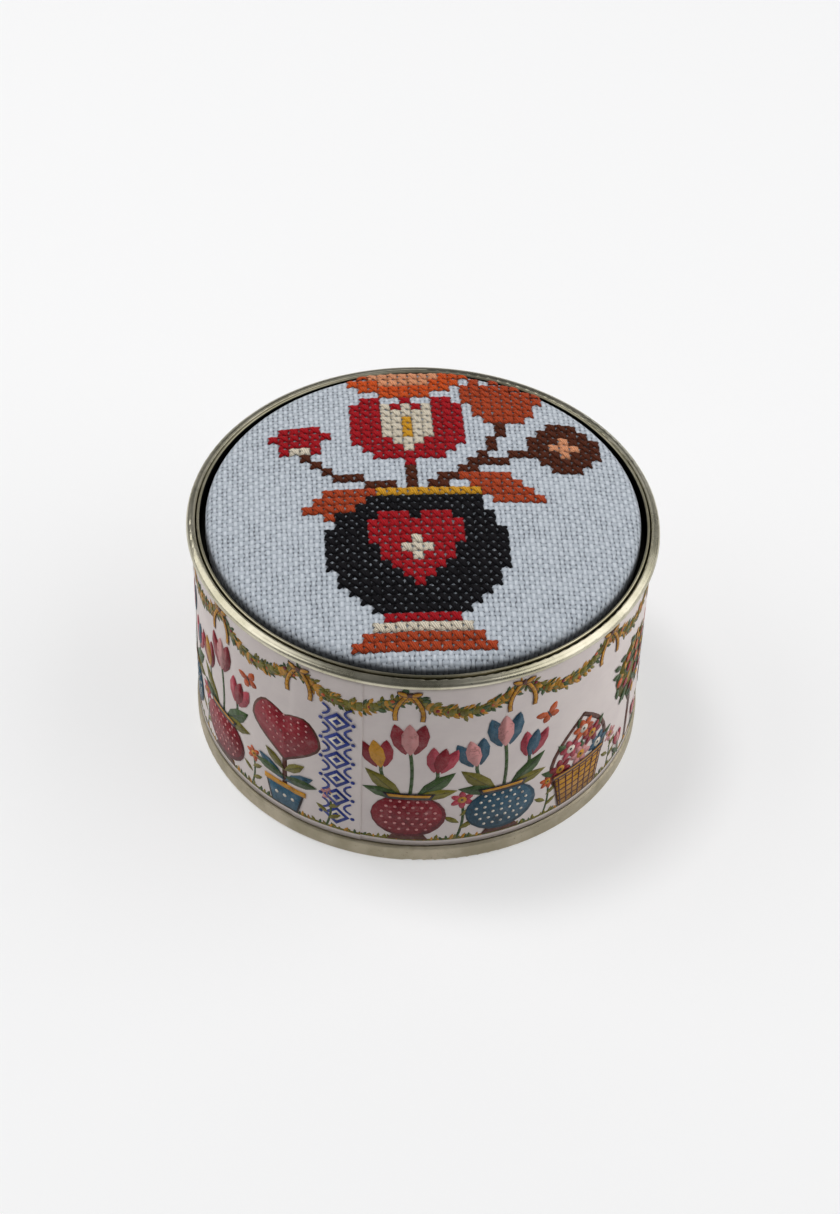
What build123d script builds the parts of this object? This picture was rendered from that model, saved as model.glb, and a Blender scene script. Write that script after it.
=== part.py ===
from build123d import *

import os
from math import cos, pi, radians, sin

# A round sewing tin: a tinplate can in a printed paper label, closed by a shallow
# metal lid tray that carries a padded pincushion with a cross-stitched fabric top.
# Millimetres. The origin is the centre of the foot ring, on the surface that the tin stands on.
# +Z points up through the lid, and -Y is the side where the label's end shows.

# Plate, paper and cloth
body_plate = 0.20
end_plate = 0.24
tray_plate = 0.24
label_paper = 0.12
cover_cloth = 0.45
board_thickness = 2.0
thread_thickness = 0.40

# Can
rim_height = 47.5
body_radius = 42.25
rim_overhang = 1.25
rim_depth = 1.3
rim_side = 0.03
rim_inner_radius = 0.35
rim_fold_radius = 0.15
rim_lip = 0.75
foot_thickness = 1.1
foot_length = 3.6
foot_corner_radius = 0.45
neck_depth = 0.6
neck_height = 0.4
neck_clearance = 0.10
bend_radius = 0.35

# Layers inside the crimped rim and the double seam of the foot
fit_gap = 0.02
hook_gap = 0.06
flange_gap = 0.15
hook_end_gap = 0.25
compound_length = 1.2
gasket_width = 0.42
gasket_thickness = 0.34

# Bottom panel, with its moat and stepped rings
panel_height = 2.9
moat_rise = 1.2
moat_width = 1.3
panel_step = 0.45
step_inset = 7.0
step_ring_width = 9.0
step_slope = 0.9

# Ledge inside the mouth
ledge_depth = 5.2
ledge_width = 3.6
hem_length = 1.3
hem_spacing = 0.40

# Label
label_foot_margin = 0.05
label_top_margin = 0.3
label_lap = 12.0
label_climb = 1.2
label_end_angle = -102.6

# Lid tray
tray_clearance = 0.20
tray_rise = 0.20
tray_hem_spacing = 0.30
tray_hem_length = 1.2
seat_gap = 0.10
tray_panel_drop = 0.8
tray_panel_clearance = 1.8
tray_corner_radius = 0.7

# Pincushion
cushion_gap = 0.90
cushion_shoulder_rise = 1.5
cushion_crown = 2.3
cushion_shoulder_radius = 2.2
cushion_foot_radius = 1.0
layer_gap = 0.02
turned_under = 9.0

# Cross-stitching, counted over two threads of the cloth
stitch_width = 1.94
stitch_height = 2.10
stitch_gap = 0.06
stitch_thickness = 0.50
stitch_turn = 5.0

os.makedirs("parts", exist_ok=True)


def write(piece, name):
    """Label a finished piece and write it as its own STEP file."""
    piece.part.label = name
    export_step(piece.part, f"parts/{name}.step")


def on_circle(radius, angle):
    """Point at an angle in degrees on a circle about the tin's axis."""
    return (radius * cos(radians(angle)), radius * sin(radians(angle)))


# Can body: a rolled cylinder with a flat flange at its mouth, necked in above the foot
# and turned into a hook for the foot's seam.
body_wall = body_radius - body_plate / 2
rim_radius = body_radius + rim_overhang
flange_tip = rim_radius - end_plate - hook_end_gap
body_flange = rim_height - rim_depth + end_plate + fit_gap + body_plate / 2
neck_radius = body_radius - neck_depth
neck_wall = neck_radius - body_plate / 2
neck_bottom = foot_length + neck_clearance
neck_top = neck_bottom + neck_height
foot_radius = neck_radius + foot_thickness
foot_hook = (neck_radius + hook_gap + foot_radius) / 2
foot_flange = end_plate + flange_gap + body_plate / 2
foot_hook_tip = foot_length - end_plate - hook_end_gap

with BuildPart() as can_body:
    with BuildSketch(Plane.XZ):
        with BuildLine():
            FilletPolyline(
                (foot_hook, foot_hook_tip),
                (foot_hook, foot_flange),
                (neck_wall, foot_flange),
                (neck_wall, neck_bottom),
                (body_wall, neck_top),
                (body_wall, body_flange),
                (flange_tip, body_flange),
                radius=bend_radius * 0.9,
            )
        trace(line_width=body_plate)
    revolve(axis=Axis.Z)
write(can_body, "can_body")

# Bottom end: seamed under the body, with a moat inside the foot and a stepped panel.
foot_wall = neck_radius - body_plate - fit_gap - end_plate / 2
foot_panel = foot_radius - end_plate / 2
foot_cover_hook = neck_radius + hook_gap + end_plate / 2
foot_cover_tip = foot_flange + body_plate / 2 + hook_end_gap
foot_fold = foot_length - end_plate / 2
moat_height = panel_height + moat_rise
moat_inner = foot_wall - moat_width
outer_step_radius = moat_inner - step_inset
inner_step_radius = outer_step_radius - step_ring_width
upper_panel = panel_height + panel_step

with BuildPart() as bottom_end:
    with BuildSketch(Plane.XZ):
        with BuildLine():
            FilletPolyline(
                (foot_cover_hook, foot_cover_tip),
                (foot_cover_hook, foot_fold),
                (foot_panel, foot_fold),
                (foot_panel, end_plate / 2),
                (foot_wall, end_plate / 2),
                (foot_wall, moat_height),
                (moat_inner, moat_height),
                (moat_inner, panel_height),
                (outer_step_radius, panel_height),
                (outer_step_radius - step_slope, upper_panel),
                (inner_step_radius + step_slope, upper_panel),
                (inner_step_radius, panel_height),
                (0, panel_height),
                radius=[
                    bend_radius,
                    bend_radius,
                    foot_corner_radius,
                    foot_corner_radius,
                    foot_corner_radius,
                    foot_corner_radius,
                    bend_radius,
                    step_slope,
                    step_slope,
                    step_slope,
                    step_slope,
                ],
            )
        trace(line_width=end_plate)
    revolve(axis=Axis.Z)
write(bottom_end, "bottom_end")

# Top ring: its round rim is crimped over the body's flange, and it has a straight throat for
# the lid tray and an inward ledge, hemmed under to a safe edge, that the tray stands on.
throat_wall = body_radius - body_plate - fit_gap - end_plate / 2
rim_panel = rim_radius - end_plate / 2
rim_crown = rim_height - end_plate / 2
rim_fold = rim_height - rim_depth + end_plate / 2
rim_crown_radius = rim_crown - rim_fold - rim_fold_radius - rim_side
rim_lip_tip = rim_panel - rim_lip
ledge_top = rim_height - ledge_depth
ledge_level = ledge_top - end_plate / 2
ledge_edge = throat_wall - ledge_width
hem_turn_radius = hem_spacing * 0.48

with BuildPart() as top_ring:
    with BuildSketch(Plane.XZ):
        with BuildLine():
            FilletPolyline(
                (rim_lip_tip, rim_fold),
                (rim_panel, rim_fold),
                (rim_panel, rim_crown),
                (throat_wall, rim_crown),
                (throat_wall, ledge_level),
                (ledge_edge, ledge_level),
                (ledge_edge, ledge_level - hem_spacing),
                (ledge_edge + hem_length, ledge_level - hem_spacing),
                radius=[
                    rim_fold_radius,
                    rim_crown_radius,
                    rim_inner_radius,
                    bend_radius,
                    hem_turn_radius,
                    hem_turn_radius,
                ],
            )
        trace(line_width=end_plate)
    revolve(axis=Axis.Z)
write(top_ring, "top_ring")


def sealing_ring(inner, outer, low, thickness):
    """Flat-ended ring of sealing compound."""
    with BuildPart() as ring:
        with BuildSketch(Plane.XY.offset(low)):
            Circle(outer)
            Circle(inner, mode=Mode.SUBTRACT)
        extrude(amount=thickness)
    return ring


# Sealing compound: a flat ring on the body's flange, and one in the outer void of the foot's seam.
gasket_outer = flange_tip - hook_gap
gasket_low = body_flange + body_plate / 2 + fit_gap
top_seam_compound = sealing_ring(gasket_outer - gasket_width, gasket_outer, gasket_low, gasket_thickness)
write(top_seam_compound, "top_seam_compound")

foot_compound_inner = foot_hook + body_plate / 2 + fit_gap
foot_compound_outer = foot_panel - end_plate / 2 - fit_gap
foot_compound_low = foot_hook_tip - fit_gap - compound_length
bottom_seam_compound = sealing_ring(foot_compound_inner, foot_compound_outer, foot_compound_low, compound_length)
write(bottom_seam_compound, "bottom_seam_compound")

# Label: one sheet of paper once round the can, whose outer end laps over its inner end.
label_bottom = neck_top + label_foot_margin
label_top = rim_height - rim_depth - label_top_margin
label_inner_layer = body_radius + fit_gap + label_paper / 2
label_outer_layer = label_inner_layer + label_paper + fit_gap
label_start_angle = label_end_angle - label_lap / body_radius * 180 / pi
climb_angle = label_climb / body_radius * 180 / pi
flat_turn = 360 - 2 * climb_angle
climb_start = label_start_angle + flat_turn
climb_end = climb_start + climb_angle
lap_turn = label_end_angle + 360 - climb_end

with BuildPart() as label_wrap:
    with BuildSketch(Plane.XY.offset(label_bottom)):
        with BuildLine():
            CenterArc((0, 0), label_inner_layer, label_start_angle, flat_turn)
            Line(on_circle(label_inner_layer, climb_start), on_circle(label_outer_layer, climb_end))
            CenterArc((0, 0), label_outer_layer, climb_end, lap_turn)
        trace(line_width=label_paper)
    extrude(amount=label_top - label_bottom)
write(label_wrap, "label_wrap")

# Lid tray: a shallow pressed cup with a hemmed edge that drops into the throat.
tray_wall = throat_wall - end_plate / 2 - tray_clearance - tray_plate / 2
tray_level = ledge_top + seat_gap + tray_plate / 2
tray_panel = tray_level - tray_panel_drop
tray_panel_radius = ledge_edge - tray_panel_clearance
tray_edge = rim_height + tray_rise - tray_plate / 2
tray_hem = tray_wall - tray_hem_spacing
tray_hem_radius = tray_hem_spacing * 0.48

with BuildPart() as lid_tray:
    with BuildSketch(Plane.XZ):
        with BuildLine():
            FilletPolyline(
                (0, tray_panel),
                (tray_panel_radius - step_slope, tray_panel),
                (tray_panel_radius, tray_level),
                (tray_wall, tray_level),
                (tray_wall, tray_edge),
                (tray_hem, tray_edge),
                (tray_hem, tray_edge - tray_hem_length),
                radius=[
                    bend_radius,
                    bend_radius,
                    tray_corner_radius,
                    tray_hem_radius,
                    tray_hem_radius,
                ],
            )
        trace(line_width=tray_plate)
    revolve(axis=Axis.Z)
write(lid_tray, "lid_tray")

# Pincushion outline: straight sides from the tray's floor, a rounded shoulder and a low crown.
cushion_radius = tray_hem - tray_plate / 2 - cushion_gap
cushion_bottom = tray_level + tray_plate / 2 + layer_gap
cushion_shoulder = rim_height + cushion_shoulder_rise
cushion_top = cushion_shoulder + cushion_crown

with BuildSketch() as cushion_outline:
    with BuildLine():
        Polyline(
            (-cushion_radius, cushion_shoulder),
            (-cushion_radius, cushion_bottom),
            (cushion_radius, cushion_bottom),
            (cushion_radius, cushion_shoulder),
        )
        ThreePointArc(
            (cushion_radius, cushion_shoulder),
            (0, cushion_top),
            (-cushion_radius, cushion_shoulder),
        )
    make_face()
    corners = cushion_outline.vertices().group_by(Axis.Y)
    fillet(corners[-1], radius=cushion_shoulder_radius)
    fillet(cushion_outline.vertices().group_by(Axis.Y)[0], radius=cushion_foot_radius)


def cushion_solid(growth):
    """Solid of revolution of the cushion outline, grown or shrunk evenly by an amount."""
    with BuildSketch(Plane.XZ) as half:
        add(cushion_outline.sketch_local)
        if growth != 0:
            offset(amount=growth)
        with Locations((cushion_radius, cushion_shoulder)):
            Rectangle(2 * cushion_radius, 4 * rim_height, mode=Mode.INTERSECT)
    return revolve(half.sketch, axis=Axis.Z, mode=Mode.PRIVATE)


cushion_outside = cushion_solid(0)
cushion_inside = cushion_solid(-cover_cloth)
wadding_outside = cushion_solid(-cover_cloth - layer_gap)
fold_edge = cushion_radius - turned_under
board_bottom = cushion_bottom + cover_cloth + layer_gap
board_top = board_bottom + board_thickness
board_radius = cushion_radius - cover_cloth - layer_gap

# Cover: evenweave cloth over the top and sides, turned under the board all round.
with BuildPart() as cushion_cover:
    add(cushion_outside)
    add(cushion_inside, mode=Mode.SUBTRACT)
    with BuildSketch(Plane.XY.offset(cushion_bottom - layer_gap)):
        Circle(fold_edge)
    extrude(amount=board_bottom - cushion_bottom + layer_gap, mode=Mode.SUBTRACT)
write(cushion_cover, "cushion_cover")

# Board: a card disc that the cloth is drawn over.
with BuildPart() as cushion_board:
    with BuildSketch(Plane.XY.offset(board_bottom)):
        Circle(board_radius)
    extrude(amount=board_thickness)
    chamfer(cushion_board.faces().sort_by(Axis.Z)[0].edges(), length=cushion_foot_radius)
write(cushion_board, "cushion_board")

# Wadding: fills the crown between the board and the cloth.
with BuildPart() as cushion_wadding:
    add(wadding_outside)
    with BuildSketch(Plane.XY.offset(cushion_bottom - cushion_foot_radius)):
        Circle(2 * cushion_radius)
    extrude(amount=board_top + layer_gap - cushion_bottom + cushion_foot_radius, mode=Mode.SUBTRACT)
write(cushion_wadding, "cushion_wadding")

# Gathering thread: the drawn-up running thread at the edge of the turned-under cloth.
thread_ring_radius = fold_edge - layer_gap - thread_thickness / 2
thread_level = board_bottom - layer_gap - thread_thickness / 2

with BuildPart() as gathering_thread:
    with BuildSketch(Plane.XZ):
        with Locations((thread_ring_radius, thread_level)):
            Circle(thread_thickness / 2)
    revolve(axis=Axis.Z)
write(gathering_thread, "gathering_thread")


# Stitched motifs, as sets of (column, row) squares of the cloth counted from its middle.
stitch_reach = int(cushion_radius / min(stitch_width, stitch_height)) + 1


def squares():
    """Every square that a motif could fill."""
    span = range(-stitch_reach, stitch_reach + 1)
    return [(column, row) for column in span for row in span]


def disc(column, row, across, up):
    """Round or oval motif about a middle square."""
    return {(c, r) for c, r in squares() if ((c - column) / across) ** 2 + ((r - row) / up) ** 2 <= 1}


def band(column, low, high, half_low, half_high):
    """Upright band between two rows, whose half width changes evenly from low to high."""
    rise = max(high - low, 1)
    return {
        (c, r)
        for c, r in squares()
        if low <= r <= high and abs(c - column) <= half_low + (half_high - half_low) * (r - low) / rise
    }


def heart(column, row, size):
    """Heart about a middle square."""
    filled = set()
    for c, r in squares():
        x = (c - column) / size
        y = (r - row) / size
        if (x * x + y * y - 1) ** 3 <= x * x * y**3:
            filled.add((c, r))
    return filled


def leaf(column, row, length, width, angle):
    """Pointed leaf from its stalk end, leaning by an angle in degrees."""
    filled = set()
    for c, r in squares():
        along = (c - column) * cos(radians(angle)) + (r - row) * sin(radians(angle))
        aside = (r - row) * cos(radians(angle)) - (c - column) * sin(radians(angle))
        if 0 <= along <= length and abs(aside) <= width * sin(pi * along / length) + 0.1:
            filled.add((c, r))
    return filled


def tulip(column, row, half, height):
    """Cup of petals with three tips, standing on a row."""
    filled = set()
    for c, r in squares():
        across = (c - column) / half
        if abs(across) <= 1:
            foot = row + height * 0.5 * (1 - (1 - across * across) ** 0.5)
            tip = row + height * (0.72 + 0.28 * abs(cos(1.5 * pi * across)))
            if foot <= r <= tip:
                filled.add((c, r))
    return filled


def stem(*points):
    """Single line of stitches from point to point."""
    filled = set()
    for (c0, r0), (c1, r1) in zip(points, points[1:]):
        steps = max(abs(c1 - c0), abs(r1 - r0), 1)
        for k in range(steps + 1):
            filled.add((round(c0 + (c1 - c0) * k / steps), round(r0 + (r1 - r0) * k / steps)))
    return filled


# A footed vase of flowers, worked in order: later motifs cover earlier ones.
vase_bowl = disc(-1, -6, 8.4, 8) - band(-1, -21, -14, 9, 9) - band(-1, 0, 3, 9, 9)
motifs = [
    ("brown", stem((-1, 2), (-1, 6)) | stem((1, 2), (6, 5), (12, 6))),
    ("brown", stem((-3, 2), (-8, 3), (-11, 6)) | stem((2, 2), (7, 7), (8, 11))),
    ("rust", band(-1, -17, -16, 6, 5)),
    ("cream", band(-1, -15, -15, 4, 4)),
    ("red", band(-1, -14, -14, 3, 3)),
    ("black", vase_bowl | band(-1, 0, 0, 6, 6)),
    ("gold", band(-1, 1, 1, 7, 7)),
    ("red", heart(-1, -6.2, 3.9)),
    ("cream", disc(-1, -6, 1.2, 1.2)),
    ("red", tulip(-1, 5, 5.6, 9.6)),
    ("cream", tulip(-1, 7, 2.6, 6.4)),
    ("gold", stem((-1, 9), (-1, 11))),
    ("orange", disc(-1, 18.6, 6.4, 3.9) - {(-4, 15), (2, 15)}),
    ("peach", disc(-1, 18.4, 3.4, 2.2)),
    ("rust", tulip(8.5, 10, 3.6, 8)),
    ("brown", disc(14, 7, 3.2, 3.3)),
    ("peach", disc(14, 7, 1.1, 1.1)),
    ("rust", leaf(4, 3, 8, 1.7, -25) | leaf(-5, 1, 7, 1.7, 200)),
    ("red", tulip(-11.5, 6, 2.5, 4.6)),
    ("cream", {(-12, 7), (-11, 7)}),
]
chart = {}
for colour, filled in motifs:
    for square in filled:
        if (square[0] * stitch_width) ** 2 + (square[1] * stitch_height) ** 2 <= cushion_radius**2:
            chart[square] = colour


def runs(colour):
    """Rows of neighbouring squares in one colour, as (first column, last column, row)."""
    found = []
    for column, row in sorted((c for c in chart if chart[c] == colour), key=lambda c: (c[1], c[0])):
        if found and found[-1][2] == row and found[-1][1] == column - 1:
            found[-1] = (found[-1][0], column, row)
        else:
            found.append((column, column, row))
    return found


# Embroidery: one node for each thread colour, a separate solid for each run of stitches.
stitch_outside = cushion_solid(layer_gap + stitch_thickness)
stitch_inside = cushion_solid(layer_gap)
stitch_plane = Plane((0, 0, rim_height - layer_gap)).rotated((0, 0, stitch_turn))

for colour in ("orange", "peach", "red", "cream", "gold", "black", "rust", "brown"):
    with BuildPart() as embroidery:
        with BuildSketch(stitch_plane):
            for first, last, row in runs(colour):
                with Locations(((first + last) / 2 * stitch_width, row * stitch_height)):
                    Rectangle((last - first + 1) * stitch_width - stitch_gap, stitch_height - stitch_gap)
        extrude(amount=cushion_shoulder_rise + cushion_crown + stitch_thickness + 2 * layer_gap)
        add(stitch_outside, mode=Mode.INTERSECT)
        add(stitch_inside, mode=Mode.SUBTRACT)
    write(embroidery, f"embroidery_{colour}")
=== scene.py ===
import random
from math import atan, cos, hypot, pi, radians, sin, sqrt

import bmesh
import bpy
from bpy.props import FloatProperty, FloatVectorProperty, IntProperty, PointerProperty
from mathutils import Matrix, Vector
from mathutils.bvhtree import BVHTree


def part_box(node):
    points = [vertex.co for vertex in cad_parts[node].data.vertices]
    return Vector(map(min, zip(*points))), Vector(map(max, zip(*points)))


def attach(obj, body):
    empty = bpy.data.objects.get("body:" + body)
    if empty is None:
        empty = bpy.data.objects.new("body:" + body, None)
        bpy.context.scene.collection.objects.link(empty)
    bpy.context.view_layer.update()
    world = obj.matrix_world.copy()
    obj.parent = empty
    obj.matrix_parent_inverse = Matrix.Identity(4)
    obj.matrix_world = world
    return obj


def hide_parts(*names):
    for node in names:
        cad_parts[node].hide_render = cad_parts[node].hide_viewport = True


bl_info = {
    "name": "Sewing Tin",
    "version": (1, 0, 0),
    "blender": (4, 5, 0),
    "location": "View3D > Sidebar > Sewing Tin",
    "description": "Builds the label, pincushion and embroidery of a round sewing tin",
    "category": "Object",
}

MM = 0.001

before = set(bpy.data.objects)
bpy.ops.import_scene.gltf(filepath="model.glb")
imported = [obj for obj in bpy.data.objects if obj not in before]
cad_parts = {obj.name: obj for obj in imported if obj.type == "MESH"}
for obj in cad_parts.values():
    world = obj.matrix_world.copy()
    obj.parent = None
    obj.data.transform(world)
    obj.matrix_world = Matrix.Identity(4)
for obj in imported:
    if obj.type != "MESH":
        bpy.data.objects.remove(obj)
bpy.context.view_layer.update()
label_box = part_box("label_wrap")
cushion_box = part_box("cushion_cover")
tray_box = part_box("lid_tray")
ring_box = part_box("top_ring")


def ink(red, green, blue):
    """Colour as a renderer takes it, from the 0 to 255 numbers on a paint card."""
    shares = (red / 255, green / 255, blue / 255)
    return tuple(c / 12.92 if c <= 0.04045 else ((c + 0.055) / 1.055) ** 2.4 for c in shares)


def shaded(tone, *shares):
    """A colour with its red, green and blue each taken down to a share, or all three to the same one."""
    return tuple(c * share for c, share in zip(tone, shares * 3))


def colour(name, description, red, green, blue):
    """A colour that the user can change."""
    tone = ink(red, green, blue)
    return FloatVectorProperty(
        name=name, description=description, subtype="COLOR", size=3, min=0, max=1, default=tone
    )


def cotton(name, red, green, blue):
    """The colour of one embroidery thread."""
    return colour(name + " thread", "Embroidery cotton", red, green, blue)


def length(name, description, millimetres):
    """A length that the user can change."""
    size = millimetres * MM
    return FloatProperty(
        name=name, description=description, unit="LENGTH", precision=5, min=0, default=size
    )


def bearing(name, description, degrees):
    """An angle that the user can change."""
    return FloatProperty(
        name=name, description=description, subtype="ANGLE", default=radians(degrees)
    )


class TinSizes(bpy.types.PropertyGroup):
    """Sizes of the pieces that are dressed here."""

    paper: length("Paper", "Thickness of the label", 0.12)
    lap: length("Lap", "How far the label's outer end covers its inner end", 12.0)
    climb: length("Climb", "Run over which the outer end rises onto the inner end", 1.2)
    thread_across: length("Thread across", "Pitch of the cloth's threads from side to side", 0.97)
    thread_up: length("Thread up", "Pitch of the cloth's threads from front to back", 1.05)
    stitch_lift: length("Stitch lift", "Height of a crossed stitch over the cloth", 0.55)
    garland_height: length("Garland height", "Height at which the printed garland is tied up", 43.6)
    garland_drop: length("Garland drop", "How far each swag of the garland hangs", 4.4)
    ground_height: length("Ground height", "The green line that the printed flowers stand on", 5.8)
    cloth_turn: bearing("Cloth turn", "Turn of the cloth's threads in the tray", 5.0)
    label_end: bearing("Label end", "Direction of the label's outer edge", -102.6)
    seed: IntProperty(
        name="Seed", description="Changes the small unevenness of stitches and print", default=7
    )


class TinColours(bpy.types.PropertyGroup):
    """Colours of metal, paper, ink, cloth and thread."""

    tinplate: colour("Tinplate", "Can body and rim", 209, 203, 183)
    foot: colour("Foot", "Bottom end, rubbed dull", 196, 186, 166)
    tray: colour("Tray", "Lid tray", 190, 183, 158)
    # Near-black painted shade inside the tray's wall, for the dark gap round the cushion.
    painted_gap_shade: colour("Painted_gap_shade", "Inside of the tray's wall", 26, 25, 22)
    paper: colour("Paper", "Label paper", 243, 231, 226)
    cloth: colour("Cloth", "Pincushion cover", 199, 205, 212)
    hole: colour("Hole", "Shadow between the cloth's threads", 92, 95, 102)
    orange: cotton("Orange", 212, 84, 26)
    peach: cotton("Peach", 228, 156, 114)
    red: cotton("Red", 172, 16, 28)
    cream: cotton("Cream", 228, 217, 196)
    gold: cotton("Gold", 218, 158, 36)
    black: cotton("Black", 24, 23, 26)
    rust: cotton("Rust", 180, 70, 34)
    brown: cotton("Brown", 88, 44, 28)


class Recipe:
    """The node tree of one new material, with short ways to add to it."""

    def __init__(self, name):
        self.material = bpy.data.materials.new(name)
        self.material.use_nodes = True
        self.tree = self.material.node_tree
        self.tree.nodes.clear()
        self.output = self.tree.nodes.new("ShaderNodeOutputMaterial")

    def plug(self, socket, value):
        """Link an output to a socket, or set the socket to a plain value."""
        if isinstance(value, bpy.types.NodeSocket):
            self.tree.links.new(value, socket)
        elif socket.type == "RGBA" and len(value) == 3:
            socket.default_value = (*value, 1)
        else:
            socket.default_value = value

    def node(self, kind, inputs, **settings):
        """Add a node, with its settings and inputs given by name or number."""
        made = self.tree.nodes.new("ShaderNode" + kind)
        for name, value in settings.items():
            setattr(made, name, value)
        for name, value in inputs.items():
            self.plug(made.inputs[name], value)
        return made

    def calc(self, operation, first, second=0.0, third=0.0):
        """One step of arithmetic."""
        return self.node("Math", {0: first, 1: second, 2: third}, operation=operation).outputs[0]

    def times(self, first, second):
        """One value times another."""
        return self.calc("MULTIPLY", first, second)

    def vector(self, operation, first, second=(0, 0, 0)):
        """One step of arithmetic on all three coordinates at once."""
        return self.node("VectorMath", {0: first, 1: second}, operation=operation).outputs[0]

    def apart(self, coordinates):
        """The three coordinates, one by one."""
        return self.node("SeparateXYZ", {0: coordinates}).outputs

    def between(self, value, low, high):
        """0 at low, 1 at high, and smooth between."""
        inputs = {0: value, 1: low, 2: high}
        return self.node("MapRange", inputs, interpolation_type="SMOOTHSTEP").outputs[0]

    def blend(self, factor, first, second, way="MIX"):
        """Colour between first and second."""
        inputs = {0: factor, 6: first, 7: second}
        return self.node("Mix", inputs, data_type="RGBA", blend_type=way).outputs[2]

    def place(self, source, turn=0.0, scale=(1, 1, 1)):
        """Coordinates turned, and then measured in units of scale."""
        inputs = {0: source, "Rotation": (0, 0, turn), "Scale": scale}
        return self.node("Mapping", inputs, vector_type="TEXTURE").outputs[0]

    def own(self):
        """Coordinates of the piece's own mesh."""
        return self.node("TexCoord", {}).outputs["Object"]

    def flat(self):
        """The piece's own flat pattern."""
        return self.node("UVMap", {}, uv_map="pattern").outputs[0]

    def noise(self, where, scale, detail=2.0, roughness=0.5):
        """Soft noise from 0 to 1."""
        inputs = {"Vector": where, "Scale": scale, "Detail": detail, "Roughness": roughness}
        return self.node("TexNoise", inputs).outputs[0]

    def bump(self, height, distance, strength=1.0, over=None):
        """Fine relief, over other relief if there is any."""
        inputs = {"Strength": strength, "Distance": distance, "Height": height}
        if over:
            inputs["Normal"] = over
        return self.node("Bump", inputs).outputs[0]

    def finish(self, **inputs):
        """The shader itself; the names of its inputs have underlines for spaces."""
        named = {name.replace("_", " "): value for name, value in inputs.items()}
        shader = self.node("BsdfPrincipled", named)
        self.tree.links.new(shader.outputs[0], self.output.inputs[0])
        return self.material


def tinplate(name, tone, dull, painted_gap_shade=None, crowned=False):
    """Dull rolled tinplate with lines round it, patina and specks, painted black shade inside if asked,
    crowned on top if asked.
    """
    mix = Recipe(name)
    where = mix.own()
    height = mix.apart(where)[2]
    round_lines = mix.node("CombineXYZ", {2: mix.times(height, 60.0)}).outputs[0]
    lines = mix.noise(round_lines, 200.0, 3.0, 0.7)
    clouds = mix.noise(where, 95.0, 4.0, 0.6)
    blotches = mix.noise(where, 520.0, 4.0, 0.65)
    specks = mix.noise(where, 1900.0, 2.0, 0.6)
    dark = shaded(tone, 0.66, 0.66, 0.60)
    base = mix.blend(mix.between(clouds, 0.3, 0.7), dark, tone)
    base = mix.blend(mix.times(mix.between(blotches, 0.45, 0.75), 0.5), base, dark)
    base = mix.blend(mix.between(specks, 0.64, 0.8), base, shaded(tone, 0.45))
    level = mix.vector("MULTIPLY", where, (1, 1, 0))
    radius = mix.node("VectorMath", {0: level}, operation="LENGTH").outputs[1]
    # Painted shade: the inside of the tray's wall, down to just over its floor, goes near-black where the
    # gap round the cushion is dark.
    if painted_gap_shade:
        edge = tray_box[1][0]
        top = tray_box[1][2]
        inner = mix.between(radius, edge - 0.10 * MM, edge - 0.16 * MM)
        below_rim = mix.between(height, top - 0.18 * MM, top - 0.42 * MM)
        above_floor = mix.between(height, top - 5.20 * MM, top - 5.05 * MM)
        inside = mix.times(inner, mix.times(below_rim, above_floor))
        base = mix.blend(inside, base, painted_gap_shade)
    clouded = mix.calc("MULTIPLY_ADD", clouds, 0.12, dull)
    rough = mix.calc("MULTIPLY_ADD", lines, 0.14, clouded)
    relief = mix.calc("ADD", mix.times(lines, 0.10), mix.noise(where, 140.0, 1.0))
    normal = mix.bump(relief, 0.00010, 0.4)
    if crowned:
        edge = ring_box[1][0]
        fall = mix.between(radius, edge - 0.60 * MM, edge - 1.65 * MM)
        normal = mix.bump(fall, 0.00038, 1.0, normal)
    return mix.finish(Base_Color=base, Metallic=1.0, Roughness=rough, Normal=normal)


def grainy(name, dark, light, scale, detail, unevenness, relief, stretch=1, **surface):
    """Plain stuff, rubber, card or fibre, whose grain gives it both its two tones and its relief."""
    mix = Recipe(name)
    where = mix.own()
    if stretch != 1:
        where = mix.place(where, 0.6, (1, stretch, 1))
    grain = mix.noise(where, scale, detail, unevenness)
    base = mix.blend(grain, dark, light)
    return mix.finish(Base_Color=base, Normal=mix.bump(grain, relief), **surface)


VARNISH = {"Roughness": 0.5, "Coat_Weight": 0.07, "Coat_Roughness": 0.25}


def varnished_paper(tone):
    """Label paper under a thin satin varnish, with painted shade towards its foot and painted shadow
    under the rim.
    """
    mix = Recipe("varnished_paper")
    flat = mix.flat()
    height = mix.apart(flat)[1]
    fibres = mix.noise(mix.place(flat, 0.0, (3, 1, 1)), 1600.0, 4.0, 0.65)
    wash = mix.noise(flat, 130.0, 3.0, 0.55)
    base = mix.blend(mix.between(wash, 0.35, 0.75), tone, shaded(tone, 0.93, 0.92, 0.93))
    base = mix.blend(mix.times(fibres, 0.10), base, ink(168, 160, 152))
    # Painted shade: the paper darkens towards its foot, and in the rim's shadow along its top.
    low = label_box[0][2]
    high = label_box[1][2]
    foot_painted_shade = mix.between(height, low + 1.5 * MM, low)
    rim_painted_shadow = mix.between(height, high - 1.6 * MM, high)
    edge_painted_shade = mix.calc("ADD", foot_painted_shade, rim_painted_shadow)
    base = mix.blend(mix.times(edge_painted_shade, 0.6), base, ink(132, 120, 104))
    relief = mix.calc("ADD", mix.times(fibres, 0.25), mix.noise(flat, 60.0, 1.0))
    normal = mix.bump(relief, 0.00008, 0.6)
    return mix.finish(Base_Color=base, Normal=normal, **VARNISH)


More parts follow.
